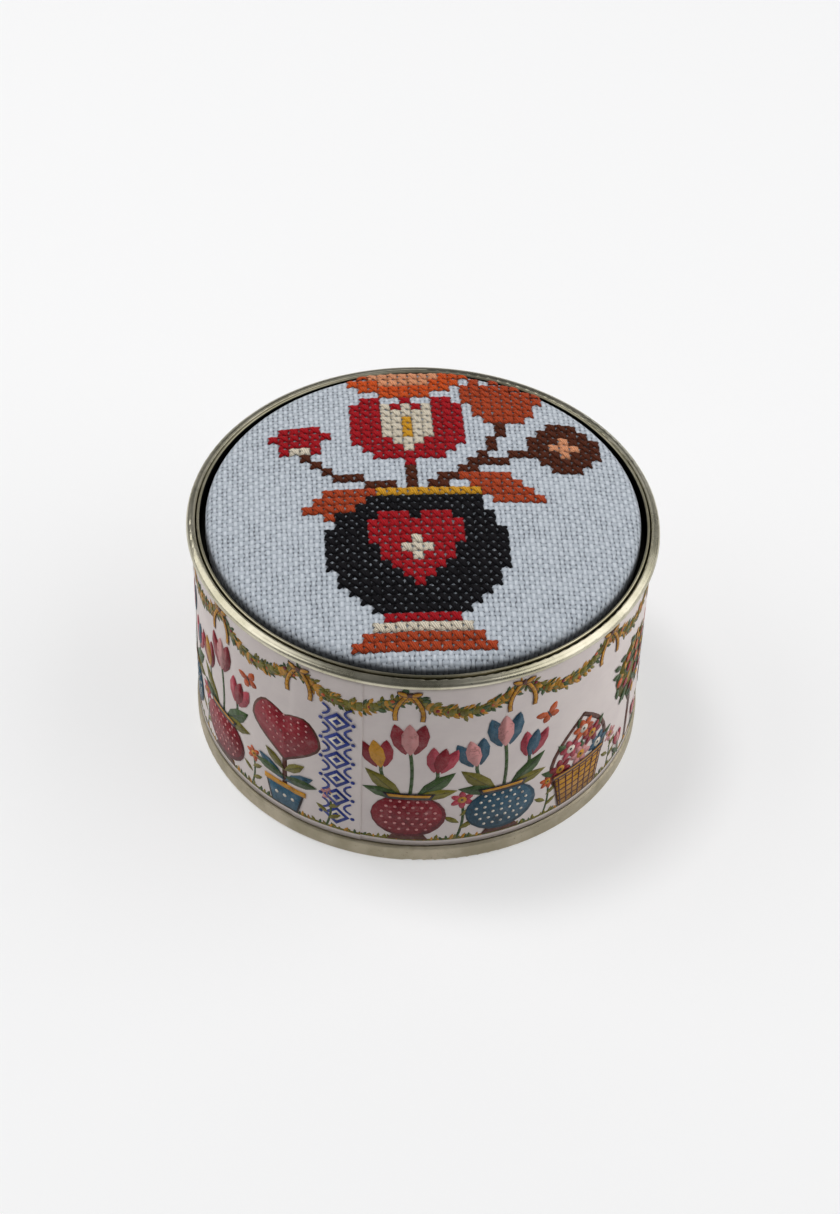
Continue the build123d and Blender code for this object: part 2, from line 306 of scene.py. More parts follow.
def printed_colour():
    """Water-colour printing in the colours that the mesh carries, uneven as a brush leaves them."""
    mix = Recipe("printed_colour")
    where = mix.own()
    tone = mix.node("Attribute", {}, attribute_name="ink").outputs[0]
    wash = mix.noise(where, 620.0, 3.0, 0.7)
    dots = mix.noise(where, 5200.0, 1.0)
    pale = mix.blend(0.14, tone, ink(226, 216, 208))
    dark = mix.blend(1.0, tone, (0.52, 0.46, 0.46), "MULTIPLY")
    base = mix.blend(mix.between(wash, 0.48, 0.80), tone, pale)
    base = mix.blend(mix.between(wash, 0.50, 0.28), base, dark)
    base = mix.blend(mix.times(mix.between(dots, 0.5, 0.7), 0.4), base, pale)
    return mix.finish(Base_Color=base, Specular_IOR_Level=0.25, **VARNISH)


def evenweave(sizes, colours):
    """Plain-woven cloth: its threads go over and under one another, with a hole at every corner, and
    painted shade in the holes and on the threads' lower sides.
    """
    mix = Recipe("evenweave")
    flat = mix.flat()
    drift = mix.node("TexNoise", {"Vector": flat, "Scale": 260.0, "Detail": 3.0}).outputs[1]
    shift = mix.vector("SUBTRACT", drift, (0.5, 0.5, 0.5))
    shift = mix.vector("MULTIPLY", shift, (0.55 * MM, 0.55 * MM, 0))
    moved = mix.vector("ADD", flat, shift)
    counted = mix.place(moved, sizes.cloth_turn, (sizes.thread_across, sizes.thread_up, 1))
    across, up, _ = mix.apart(counted)
    warp_wave = mix.calc("SINE", mix.times(across, pi))
    weft_wave = mix.calc("SINE", mix.times(up, pi))
    slub_up = mix.noise(mix.place(counted, 0.0, (1, 7, 1)), 1.0, 2.0)
    slub_across = mix.noise(mix.place(counted, 0.0, (7, 1, 1)), 1.0, 2.0)
    square = mix.vector("FLOOR", counted)
    chance = mix.node("TexWhiteNoise", {0: square}, noise_dimensions="2D").outputs[0]
    yarns = []
    for wave, other, slub, bend, level in (
        (warp_wave, weft_wave, slub_up, 0.38, 0.62),
        (weft_wave, warp_wave, slub_across, -0.20, 0.36),
    ):
        thin = mix.calc("MULTIPLY_ADD", slub, -0.7, 0.45)
        body = mix.between(mix.calc("ABSOLUTE", wave), thin, 1.0)
        rise = mix.times(mix.calc("SIGN", wave), other)
        yarns.append(mix.times(body, mix.calc("MULTIPLY_ADD", rise, bend, level)))
    height = mix.calc("MAXIMUM", *yarns)
    fuzz = mix.noise(flat, 5200.0, 3.0, 0.7)
    furred = mix.calc("MULTIPLY_ADD", fuzz, 0.30, -0.30)
    uneven = mix.calc("MULTIPLY_ADD", chance, 0.34, furred)
    shown = mix.calc("ADD", height, uneven)
    cloth = tuple(colours.cloth)
    # Painted shade by height: holes take the hole colour, the threads' lower sides a darker copy of the
    # cloth, and only their tops the cloth's own colour.
    plain = shaded(cloth, 0.70, 0.72, 0.74)
    base = mix.blend(mix.between(shown, -0.02, 0.32), tuple(colours.hole), plain)
    base = mix.blend(mix.between(shown, 0.46, 0.92), base, cloth)
    # Painted shade: the cloth darkens where it turns down into the gap by the tray's rim.
    seat = tray_box[1][2]
    cloth_gap_shade = mix.between(mix.apart(mix.own())[2], seat + 0.5 * MM, seat - 0.6 * MM)
    base = mix.blend(mix.times(cloth_gap_shade, 0.8), base, ink(44, 45, 48))
    relief = mix.calc("ADD", height, mix.times(fuzz, 0.15))
    return mix.finish(
        Base_Color=base,
        Roughness=0.85,
        Specular_IOR_Level=0.3,
        Sheen_Weight=0.12,
        Sheen_Roughness=0.5,
        Normal=mix.bump(relief, 0.00026, 0.8),
    )


def stranded_cotton(name, tone):
    """Two-ply embroidery cotton: twisted strands with a soft lustre, and painted shade between the
    strands and where they dive in.
    """
    mix = Recipe("cotton_" + name)
    along, aside, _ = mix.apart(mix.flat())
    twist = mix.calc("MULTIPLY_ADD", along, 5200.0, mix.times(aside, 15000.0))
    strands = mix.calc("MULTIPLY_ADD", mix.calc("SINE", twist), 0.5, 0.5)
    fuzz = mix.noise(mix.own(), 3800.0, 3.0, 0.7)
    patches = mix.noise(mix.own(), 420.0, 2.0)
    dark = shaded(tone, 0.5)
    faded = tuple(c * 0.9 + 0.1 for c in tone)
    # Painted shade in the grooves between the twisted strands.
    base = mix.blend(mix.between(strands, 0.0, 0.7), dark, tone)
    base = mix.blend(mix.times(mix.between(patches, 0.4, 0.7), 0.25), base, dark)
    # Painted shade towards the leg's ends, where the thread dives into the cloth.
    ends = mix.between(mix.calc("ABSOLUTE", along), 0.75 * MM, 1.40 * MM)
    base = mix.blend(mix.times(ends, 0.7), base, shaded(tone, 0.3))
    base = mix.blend(mix.times(mix.between(fuzz, 0.5, 0.8), 0.15), base, faded)
    relief = mix.calc("ADD", strands, mix.times(fuzz, 0.5))
    return mix.finish(
        Base_Color=base,
        Roughness=0.66,
        Specular_IOR_Level=0.06 + 0.2 * max(tone),
        Sheen_Weight=0.05 * max(tone),
        Sheen_Roughness=0.4,
        Normal=mix.bump(relief, 0.00008, 0.8),
    )


def dress(node, material):
    """Give a CAD node its finish."""
    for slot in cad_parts[node].material_slots:
        slot.material = material


def resize(shape, factor):
    """Make a shape so many times its size, about the origin."""
    bmesh.ops.scale(shape, vec=(factor,) * 3, verts=shape.verts)


def lay_flat(shape, place):
    """Give a shape its flat pattern: place finds a corner's spot from its coordinates."""
    pattern = shape.loops.layers.uv.new("pattern")
    for face in shape.faces:
        for loop in face.loops:
            loop[pattern].uv = place(loop.vert.co)


def cast(shape, name):
    """Turn a shape into a mesh."""
    mesh = bpy.data.meshes.new(name)
    shape.to_mesh(mesh)
    shape.free()
    return mesh


def add(name, data):
    """Put a new object into the scene."""
    made = bpy.data.objects.new(name, data)
    bpy.context.scene.collection.objects.link(made)
    return made


def finish_piece(shape, name, material, body, nodes=()):
    """Turn a shape in millimetres into a finished piece that rides on a body."""
    resize(shape, MM)
    mesh = cast(shape, name)
    mesh.shade_smooth()
    mesh.materials.append(material)
    piece = add(name, mesh)
    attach(piece, body)
    if nodes:
        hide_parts(*nodes)
    return piece


class TIN_OT_metal(bpy.types.Operator):
    """Give the can, its seams and the lid tray their tinplate"""

    bl_idname = "tin.metal"
    bl_label = "Dress the Metal"

    def execute(self, context):
        colours = context.scene.tin_colours
        dress("can_body", tinplate("can_tinplate", tuple(colours.tinplate), 0.15))
        dress("top_ring", tinplate("rim_tinplate", tuple(colours.tinplate), 0.15, crowned=True))
        dress("bottom_end", tinplate("foot_tinplate", tuple(colours.foot), 0.50))
        # Near-black painted shade for the inside of the tray's wall.
        painted_gap_shade = tuple(colours.painted_gap_shade)
        dress("lid_tray", tinplate("tray_tinplate", tuple(colours.tray), 0.20, painted_gap_shade))
        tones = ink(92, 88, 82), ink(128, 122, 112)
        rubber = grainy("sealing_rubber", *tones, 900.0, 3.0, 0.5, 0.0001, Roughness=0.8)
        for node in ("top_seam_compound", "bottom_seam_compound"):
            dress(node, rubber)
        return {"FINISHED"}


def label_radius(sizes, run):
    """Outer radius of the label, a run on from where its outer edge lies, in millimetres."""
    single = label_box[1][0] / MM
    turn = 2 * pi * single
    climb = sizes.climb / MM
    rise = (run - (turn - sizes.lap / MM - 2 * climb)) / climb
    paper_and_glue = 1.17 * sizes.paper / MM
    return single + paper_and_glue * min(max(rise, 0.0), 1.0)


def wrap_on_tin(sizes, shape, lift=0.0):
    """Bend flat work, x along the label and z up, round the tin."""
    single = label_box[1][0] / MM
    for point in shape.verts:
        direction = sizes.label_end + point.co.x / single
        radius = label_radius(sizes, point.co.x) + lift - point.co.y
        point.co = (radius * cos(direction), radius * sin(direction), point.co.z)


def outward(face):
    """Above 0 for a face that looks away from the tin's axis, and below 0 for one that looks at it."""
    return face.normal.dot(face.calc_center_median() * Vector((1, 1, 0)))


class TIN_OT_label(bpy.types.Operator):
    """Wrap the paper label round the can, its outer end over its inner end"""

    bl_idname = "tin.label"
    bl_label = "Wrap the Label"

    def execute(self, context):
        sizes = context.scene.tin_sizes
        low = label_box[0][2] / MM
        high = label_box[1][2] / MM
        turn = 2 * pi * label_box[1][0] / MM
        start = -sizes.lap / MM
        shape = bmesh.new()
        bmesh.ops.create_grid(shape, x_segments=520, y_segments=40, size=0.5)
        stretch = Matrix.Diagonal((turn - start, high - low, 1, 1))
        stand = Matrix.Rotation(pi / 2, 4, "X")
        centre = Matrix.Translation(((turn + start) / 2, 0, (low + high) / 2))
        bmesh.ops.transform(shape, matrix=centre @ stand @ stretch, verts=shape.verts)
        lay_flat(shape, lambda spot: (spot.x * MM, spot.z * MM))
        wrap_on_tin(sizes, shape)
        bmesh.ops.recalc_face_normals(shape, faces=shape.faces)
        shape.normal_update()
        if sum(outward(f) for f in shape.faces) < 0:
            bmesh.ops.reverse_faces(shape, faces=shape.faces)
        bmesh.ops.solidify(shape, geom=shape.faces[:], thickness=sizes.paper / MM)
        paper = varnished_paper(tuple(context.scene.tin_colours.paper))
        finish_piece(shape, "label_paper", paper, "tin", ["label_wrap"])
        return {"FINISHED"}


CRIMSON = ink(136, 12, 32)
ROSE = ink(178, 60, 76)
PINK = ink(216, 148, 146)
TEAL = ink(46, 88, 110)
BLUE = ink(30, 54, 140)
OCHRE = ink(202, 142, 34)
ORANGE = ink(198, 84, 26)
OLIVE = ink(120, 112, 30)
GREEN = ink(54, 80, 34)
BROWN = ink(88, 44, 28)
SOOT = ink(34, 28, 34)
CREAM = ink(238, 228, 212)

LAYER = 0.0024  # rise of each patch over the one before it, in millimetres
FULL_SHEET = 300  # corners on a sheet, after which the next motif starts a new one
LONGEST_FLAT = 1.4  # run of a patch that needs no cuts to bend round the tin
INK_LIFT = 0.012  # height of the lowest patches over the paper
INK_DEPTH = 0.006


def seed_head(k, count, reach, start=0.0):
    """Place k of a number of evenly strewn ones within a reach of the middle, as a seed head's are."""
    out = reach * sqrt((k + 0.5) / count)
    return out * cos(k * 2.4 + start), out * sin(k * 2.4 + start)


def toward(turn, reach):
    """How far aside and up a point lies that is a reach away, in a direction in degrees from upright."""
    return -reach * sin(radians(turn)), reach * cos(radians(turn))


class Printer:
    """Flat colour work for the label, in millimetres: x runs round the tin and z up it."""

    def __init__(self, seed):
        self.dice = random.Random(seed)
        self.sheets = []
        self.start(0, 0)

    def start(self, x, z, grow=1.0, layer=0.0):
        """Begin a motif about a point, grow times as large, on a layer and where need be a new sheet."""
        if not self.sheets or len(self.shape.verts) > FULL_SHEET:
            self.shape = bmesh.new()
            self.ink = self.shape.loops.layers.float_color.new("ink")
            self.sheets.append(self.shape)
        self.origin = Vector((x, 0, z))
        self.grow = grow
        self.layer = layer

    def lay_down(self, verts, tone, x, z, wide, high, turn):
        """Size, turn and place a patch over the ones before it, and ink it a little lighter or darker."""
        self.layer += LAYER
        upright = Matrix.Rotation(pi / 2, 4, "X") @ Matrix.Rotation(radians(turn), 4, "Z")
        drawn = Matrix.Translation((x, 0, z)) @ upright @ Matrix.Diagonal((wide, high, 1, 1))
        above = Matrix.Translation((self.origin.x, -self.layer, self.origin.z))
        placed = above @ Matrix.Scale(self.grow, 4) @ drawn
        bmesh.ops.transform(self.shape, matrix=placed, verts=verts)
        shade = self.dice.uniform(0.85, 1.15)
        faces = {f for v in verts for f in v.link_faces}
        for face in faces:
            for loop in face.loops:
                loop[self.ink] = (*(min(1, c * shade) for c in tone), 1)
        first = min(v.co.x for v in verts)
        last = max(v.co.x for v in verts)
        if last - first > LONGEST_FLAT:
            geometry = [*verts, *{e for f in faces for e in f.edges}, *faces]
            for cut in range(int(first) + 1, int(last) + 1):
                plane = {"plane_co": (cut, 0, 0), "plane_no": (1, 0, 0)}
                geometry = bmesh.ops.bisect_plane(self.shape, geom=geometry, **plane)["geom"]

    def wrap(self, sizes, turn):
        """Trim the sheets to the label, bend them round the tin, give them thickness and join them."""
        whole = bmesh.new()
        for sheet in self.sheets:
            for wall, side in ((0.0, -1), (turn, 1)):
                plane = {"plane_co": (wall, 0, 0), "plane_no": (side, 0, 0), "clear_outer": True}
                geometry = sheet.verts[:] + sheet.edges[:] + sheet.faces[:]
                bmesh.ops.bisect_plane(sheet, geom=geometry, **plane)
            wrap_on_tin(sizes, sheet, INK_LIFT)
            sheet.normal_update()
            inward = [f for f in sheet.faces if outward(f) < 0]
            bmesh.ops.reverse_faces(sheet, faces=inward)
            bmesh.ops.solidify(sheet, geom=sheet.faces[:], thickness=INK_DEPTH)
            mesh = cast(sheet, "sheet")
            whole.from_mesh(mesh)
            bpy.data.meshes.remove(mesh)
        return whole

    def blot(self, tone, x, z, wide, high, turn=0.0, sides=10, point=0.0, notch=0.0):
        """Oval; point draws both its ends out as a leaf's, and notch dents its top as a heart's."""
        made = bmesh.ops.create_circle(self.shape, cap_ends=True, segments=sides, radius=0.5)["verts"]
        for vert in made:
            vert.co.x *= 1 - point * (2 * abs(vert.co.y)) ** 1.5
            if notch:
                vert.co.y -= notch * max(0.0, 1 - abs(vert.co.x) * 3.2) * (vert.co.y > 0)
                vert.co.x *= 1 - 0.9 * (2 * max(0.0, -vert.co.y)) ** 1.6
        self.lay_down(made, tone, x, z, wide, high, turn)

    def bar(self, tone, x, z, wide, high, turn=0.0, taper=1.0):
        """Straight-sided patch, whose top is taper times as wide as its foot."""
        made = bmesh.ops.create_grid(self.shape, x_segments=1, y_segments=1, size=0.5)["verts"]
        for vert in made:
            vert.co.x *= 1 + (taper - 1) * (vert.co.y + 0.5)
        self.lay_down(made, tone, x, z, wide, high, turn)

    def stroke(self, tone, points, wide):
        """Brush line from point to point."""
        for (x0, z0), (x1, z1) in zip(points, points[1:]):
            run = Vector((x1 - x0, z1 - z0))
            turn = -Vector((0, 1)).angle_signed(run) * 180 / pi
            self.bar(tone, (x0 + x1) / 2, (z0 + z1) / 2, wide, run.length + wide * 0.5, turn)

    def bow(self, tone, start, end, lean, wide, steps=6):
        """Curved brush line that leans aside at its middle."""
        points = []
        for k in range(steps + 1):
            t = k / steps
            x = start[0] + (end[0] - start[0]) * t + lean * 4 * t * (1 - t)
            points.append((x, start[1] + (end[1] - start[1]) * t))
        self.stroke(tone, points, wide)

    def spots(self, tone, rows, pitch, size):
        """Rows of spots, each given as its height and how many there are."""
        for high, count in rows:
            for k in range(count):
                self.blot(tone, (k - (count - 1) / 2) * pitch, high, size, size, 0, 7)

    def rosette(self, tone, heart, x, z, radius, petals=8):
        """Round flower of petals about a middle."""
        start = self.dice.uniform(0, 90)
        for k in range(petals):
            turn = start + 360 / petals * k
            dx, dz = toward(turn, radius * 0.58)
            self.blot(tone, x + dx, z + dz, radius * 0.6, radius * 0.9, turn, 8, 0.25)
        self.blot(heart, x, z, radius * 0.75, radius * 0.75)
        self.blot(SOOT, x, z, radius * 0.25, radius * 0.25, 0, 6)

    def tulip(self, tone, inner, x, z, high, turn=0.0):
        """Three-petalled cup that grows from a point in a direction from upright."""
        aside, up = toward(turn, high)
        for petal, lie, shade in ((-0.22, 14, tone), (0.22, -14, tone), (0.0, 0, inner)):
            px = x + petal * up + 0.5 * aside
            pz = z - petal * aside + 0.5 * up
            self.blot(shade, px, pz, 0.44 * high, high, turn + lie, 10, 0.55)

    def leaf(self, tone, x, z, long, turn, wide=0.32):
        """Leaf that grows from a point in a direction from upright, with a vein where it is large."""
        aside, up = toward(turn, long)
        self.blot(tone, x + aside * 0.5, z + up * 0.5, long * wide, long, turn, 10, 0.75)
        if long > 4:
            dark = shaded(tone, 0.55)
            self.bar(dark, x + aside * 0.46, z + up * 0.46, 0.22, long * 0.7, turn)


def tulip_urn(work, tone, light, spots):
    """Round spotted urn with three tulips."""
    for dx, dz, lean in ((-4.8, 18, -1.2), (4.6, 17, 1.3), (0, 21.5, 0.4)):
        work.bow(GREEN, (dx * 0.15, 10), (dx, dz), lean, 0.6)
    for shade, dx, long, turn in (
        (OLIVE, -1, 9, 46),
        (GREEN, 1, 9, -48),
        (GREEN, -0.6, 7.5, 76),
        (OLIVE, 0.8, 7.5, -78),
    ):
        work.leaf(shade, dx, 10.5, long, turn, 0.36)
    work.tulip(tone, light, -4.8, 17.4, 6.6, 12)
    work.tulip(ROSE, tone, 4.6, 16.6, 6.2, -12)
    work.tulip(tone, PINK, 0, 21, 7.4, 2)
    work.bar(BROWN, 0, 0.8, 7.0, 1.6, 0, 0.7)
    work.blot(shaded(tone, 0.55), 0, 6.0, 12.8, 10.6, 0, 20)
    work.blot(tone, -0.25, 6.2, 12.0, 9.8, 0, 20)
    rows = ((2.6, 5), (4.0, 6), (5.4, 7), (6.8, 7), (8.2, 6), (9.6, 5))
    work.spots(spots, rows, 1.5, 0.6)
    work.bar(SOOT, 0, 10.9, 7.4, 1.5, 0, 1.2)
    work.bar(OCHRE, 0, 11.0, 6.8, 0.6, 0, 1.1)


def fruit_tree(work):
    """Small round tree with red fruit."""
    work.stroke(BROWN, [(0, 0), (0.3, 8), (0, 17)], 1.5)
    work.stroke(BROWN, [(0, 10), (-3.2, 16)], 0.8)
    work.stroke(BROWN, [(0.2, 11), (3.4, 17)], 0.8)
    work.blot(OLIVE, 0, 19.4, 13.4, 13.0, 0, 18)
    for k in range(58):
        dx, dz = seed_head(k, 58, 7.4)
        shade = (OLIVE, GREEN, OCHRE, GREEN, GREEN)[k % 5]
        work.leaf(shade, dx, 18.2 + dz, 2.9, work.dice.uniform(-80, 80), 0.5)
    for k in range(11):
        dx, dz = seed_head(k, 11, 6.2, 0.4)
        work.blot(CRIMSON if k % 3 else ORANGE, dx, 19.4 + dz, 2.0, 2.0)
    for side in (-1, 1):
        work.tulip(ROSE, PINK, side * 3.8, 2.6, 3.4, -8 * side)
        work.stroke(GREEN, [(side * 3.4, 0), (side * 3.8, 3)], 0.4)
        work.leaf(GREEN, side * 3.4, 0, 3.6, -40 * side)


def daisies(work):
    """Tall daisies with teal leaves."""
    for tone, dx, dz, size in (
        (PINK, -4.6, 17.0, 3.7),
        (ROSE, 0.8, 24.2, 4.4),
        (ORANGE, 5.2, 13.4, 3.4),
        (CRIMSON, -5.6, 8.0, 2.4),
    ):
        work.bow(GREEN, (dx * 0.2, 0), (dx, dz), dx * 0.15, 0.65)
        side = -1 if dx > 0 else 1
        work.leaf(TEAL, dx * 0.5, dz * 0.28, 6.0, 50 * side, 0.36)
        work.leaf(OLIVE, dx * 0.75, dz * 0.52, 4.6, -48 * side, 0.36)
        work.rosette(tone, OCHRE, dx, dz, size)


def basket(work):
    """Ochre basket of flowers with a hooped handle."""
    for side in (-1, 1):
        work.bow(BROWN, (side * 5.6, 6), (0, 20.0), side * 3.2, 0.9, 8)
    for tone, heart, dx, dz, turn in (
        (CRIMSON, OCHRE, -4.6, 9.4, 62),
        (TEAL, CREAM, 4.6, 9.6, -62),
        (PINK, OCHRE, 0, 10.2, 0),
        (ROSE, CREAM, -2.6, 13.2, 40),
        (CRIMSON, OCHRE, 2.6, 13.6, -40),
        (ORANGE, CREAM, 0.2, 16.4, 20),
    ):
        work.leaf(GREEN, dx, dz - 1, 4.6, turn, 0.4)
        work.rosette(tone, heart, dx, dz, 2.5, 6)
    work.bar(BROWN, 0, 4.0, 9.2, 7.8, 0, 1.32)
    work.bar(OCHRE, 0, 4.0, 8.6, 7.4, 0, 1.32)
    for k in range(5):
        work.bar(BROWN, 0, 1.4 + 1.35 * k, 9.0 + 0.55 * k, 0.32)
    for k in range(7):
        work.bar(BROWN, (k - 3) * 1.5, 4.0, 0.34, 7.2, -2.6 * (k - 3))
    work.bar(BROWN, 0, 7.9, 12.6, 1.1)
    work.bar(OCHRE, 0, 8.0, 12.0, 0.4)


def heart_bush(work):
    """Heart-shaped bush in a small pot."""
    work.stroke(BROWN, [(0, 4), (0, 12)], 1.0)
    work.blot(BROWN, 0, 18.4, 14.4, 14.2, 0, 32, 0.0, 0.2)
    work.blot(CRIMSON, 0, 18.5, 13.4, 13.0, 0, 32, 0.0, 0.2)
    rows = ((14.2, 2), (15.6, 4), (17.0, 5), (18.4, 6), (19.8, 7), (21.2, 7), (22.6, 7))
    work.spots(PINK, rows, 1.5, 0.5)
    for side in (-1, 1):
        work.leaf(TEAL, 0, 6.4, 6.8, 58 * side, 0.4)
        work.leaf(OLIVE, 0, 9.0, 5.4, 50 * side, 0.4)
        work.leaf(GREEN, 0, 7.4, 6.6, 84 * side, 0.36)
    work.bar(SOOT, 0, 2.6, 5.6, 5.4, 0, 1.5)
    work.bar(TEAL, 0, 2.7, 5.0, 5.0, 0, 1.5)
    work.bar(OCHRE, 0, 5.2, 8.8, 1.2)
    work.spots(CREAM, ((2.6, 3),), 1.7, 0.8)


def bellflowers(work):
    """Arching stems of blue bells."""
    for side, high in ((-1, 20), (1, 26)):
        work.bow(OLIVE, (0, 0), (side * 3.6, high), -side * 1.6, 0.7)
        for k in range(4):
            t = 0.40 + 0.18 * k
            x = side * (3.6 * t + 2.2)
            z = high * t
            work.stroke(OLIVE, [(side * 3.2 * t, z + 1.0), (x, z)], 0.4)
            tone = (BLUE, TEAL)[k % 2]
            work.tulip(tone, ROSE if k == 2 else TEAL, x, z, 4.0, 180 + 14 * side)
        work.leaf(GREEN, 0, 0.5, 10.0, 34 * side, 0.34)
        work.leaf(OLIVE, 0, 2.0, 7.0, 64 * side, 0.36)
    work.leaf(GREEN, 0, 0, 9.0, 2, 0.3)


def toadstools(work):
    """Two spotted toadstools under ferns."""
    for side, long in ((-1, 19), (1, 15)):
        for k in range(9):
            t = k / 9
            x = side * (2.6 + 3.4 * t)
            z = long * (0.3 + 0.7 * t)
            for way in (-1, 1):
                work.leaf(OLIVE, x, z, 3.2 * (1 - 0.6 * t), way * 62 - 12 * side, 0.3)
        work.bow(GREEN, (side * 1.6, 0), (side * 6.2, long), side * 0.4, 0.45)
    for dx, high, wide, tone in ((-2.2, 11.5, 10.4, CRIMSON), (3.6, 6.6, 7.4, ORANGE)):
        work.bar(BROWN, dx, high * 0.45, wide * 0.28, high * 0.9, 0, 0.8)
        work.bar(CREAM, dx, high * 0.45, wide * 0.21, high * 0.88, 0, 0.8)
        work.blot(tone, dx, high, wide, wide * 0.66, 0, 18)
        work.bar(PINK, dx, high - wide * 0.22, wide * 0.84, wide * 0.15)
        for k in range(4):
            x = dx + (k - 1.5) * wide * 0.2
            work.blot(CREAM, x, high + wide * 0.09 * (1 + k % 2), 1.0, 0.9, 0, 7)


def butterfly(work, tone, turn):
    """Small butterfly."""
    for spread, reach, long in ((-52, 1.5, 3.0), (52, 1.5, 3.0), (-125, 1.1, 2.1), (125, 1.1, 2.1)):
        work.blot(tone, *toward(turn + spread, reach), 1.7, long, turn + spread, 9, 0.3)
    work.blot(SOOT, 0, 0, 0.5, 2.6, turn, 6, 0.3)


def sprig(work, tone):
    """Small flower on a leafy stalk, for a gap."""
    work.bow(GREEN, (0, 0), (0.6, 8), 0.5, 0.45)
    for side, high in ((-1, 2.0), (1, 3.4), (-1, 5.0)):
        work.leaf(OLIVE, 0.3, high, 3.0, 55 * side, 0.4)
    work.rosette(tone, OCHRE, 0.6, 8.6, 1.9, 6)


def blue_column(work, high):
    """Upright band of blue lozenges, scrolls and dots beside the label's edge."""
    for k in range(int(high / 5.0)):
        z = 3.4 + 5.0 * k
        work.blot(BLUE, 0, z, 5.2, 4.8, 0, 4)
        work.blot(CREAM, 0, z, 3.2, 2.9, 0, 4)
        work.blot(BLUE, 0, z, 1.7, 1.6, 0, 4)
        for side in (-1, 1):
            work.bow(BLUE, (side * 2.7, z + 1.2), (side * 2.7, z + 3.8), -side * 1.2, 0.5, 5)
            work.blot(BLUE, side * 3.1, z, 0.9, 0.9, 0, 7)


def ribbon(work):
    """Tied ribbon with two loops and two hanging tails."""
    for side in (-1, 1):
        for tone, wide in ((BROWN, 0.95), (OCHRE, 0.65)):
            work.bow(tone, (side * 0.3, 0), (side * 2.4, -6.4), side * 0.8, wide)
        work.blot(BROWN, side * 1.2, 0.1, 2.5, 1.3, side * 22, 9, 0.3)
        work.blot(OCHRE, side * 1.2, 0.1, 2.1, 0.9, side * 22, 9, 0.3)
    work.blot(BROWN, 0, 0, 1.0, 1.2, 0, 7)


def garland(work, turn, high, drop, swags):
    """Leafy garland with berries, hung in swags from ribbons all round."""
    span = turn / swags
    steps = int(span / 0.66)
    for k in range(-steps, swags * steps):
        along = 2 * (k % steps + 0.5) / steps - 1
        slope = atan(4 * drop * along / span) * 180 / pi
        hang = high - drop * (1 - along**2)
        work.start(span * ((k + 0.5) / steps + 0.4), hang, 1.0, 0.02 * (k % 4))
        work.blot(work.dice.choice((OLIVE, OCHRE, OLIVE)), 0, 0, 1.5, 2.2, slope, 9)
        for lift in (-1.0, -0.4, 0.3, 1.0):
            shade = work.dice.choice((OLIVE, OCHRE, GREEN, OLIVE, GREEN, OCHRE))
            lean = slope + work.dice.uniform(-45, 45) + (-60 if lift > 0 else -120)
            aside = work.dice.uniform(-0.3, 0.3)
            work.leaf(shade, aside, 0.85 * lift, work.dice.uniform(1.0, 1.8), lean, 0.5)
        if k % 3 == 1:
            berry = work.dice.choice((ORANGE, CRIMSON, ORANGE))
            work.blot(berry, 0, work.dice.uniform(-1.0, 1.0), 0.85, 0.85, 0, 7)
    for k in range(-1, swags):
        work.start(span * (k + 0.4), high + 0.3, 1.0, 0.1)
        ribbon(work)


def turf(work, turn, height):
    """Line of short grass all round."""
    work.start(0, height)
    work.bar(OLIVE, turn / 2, -0.1, turn, 0.55)
    count = int(turn / 0.7)
    for k in range(count):
        work.start(turn * (k + 0.5) / count, height - 0.4, 1.0, 0.01 * (k % 4))
        shade = work.dice.choice((OLIVE, GREEN, OLIVE, OCHRE))
        work.leaf(shade, 0, 0, work.dice.uniform(0.9, 1.8), work.dice.uniform(-40, 40), 0.45)


class TIN_OT_label_print(bpy.types.Operator):
    """Print the label with pots, trees and flowers between a grass line and a leafy border"""

    bl_idname = "tin.label_print"
    bl_label = "Print the Label"

    def execute(self, context):
        sizes = context.scene.tin_sizes
        turn = 2 * pi * label_box[1][0] / MM
        ground = sizes.ground_height / MM
        work = Printer(sizes.seed)
        turf(work, turn, ground)
        garland(work, turn, sizes.garland_height / MM, sizes.garland_drop / MM, swags=13)
        garden = (
            (tulip_urn, CRIMSON, OCHRE, PINK),
            (daisies,),
            (basket,),
            (heart_bush,),
            (bellflowers,),
            (tulip_urn, TEAL, PINK, CREAM),
            (toadstools,),
            (fruit_tree,),
        )
        count = 15
        room_for_column = 0.4
        pitch = turn / (count + room_for_column)
        for k in range(count):
            middle = pitch * (k + 0.5)
            work.start(middle, ground, 1.08)
            draw, *inks = garden[(k * 5) % 8 if k < 8 else (k * 3 + 1) % 8]
            draw(work, *inks)
            work.start(middle + pitch * 0.52, ground, 1.0 + 0.2 * (k % 3 == 0))
            sprig(work, (ROSE, ORANGE, PINK, CRIMSON)[k % 4])
            if k % 2:
                work.start(middle + pitch * 0.5, ground + 25 + 2 * (k % 3), 1.0)
                butterfly(work, (PINK, ORANGE, TEAL)[k % 3], 25 * (-1) ** (k // 2))
        work.start(turn - pitch * 0.27, ground)
        blue_column(work, 33)
        shape = work.wrap(sizes, turn)
        finish_piece(shape, "label_print", printed_colour(), "tin")
        return {"FINISHED"}


PAD_SCALE = 5.0  # the pad is puffed up at this many times its size, where cloth behaves steadily


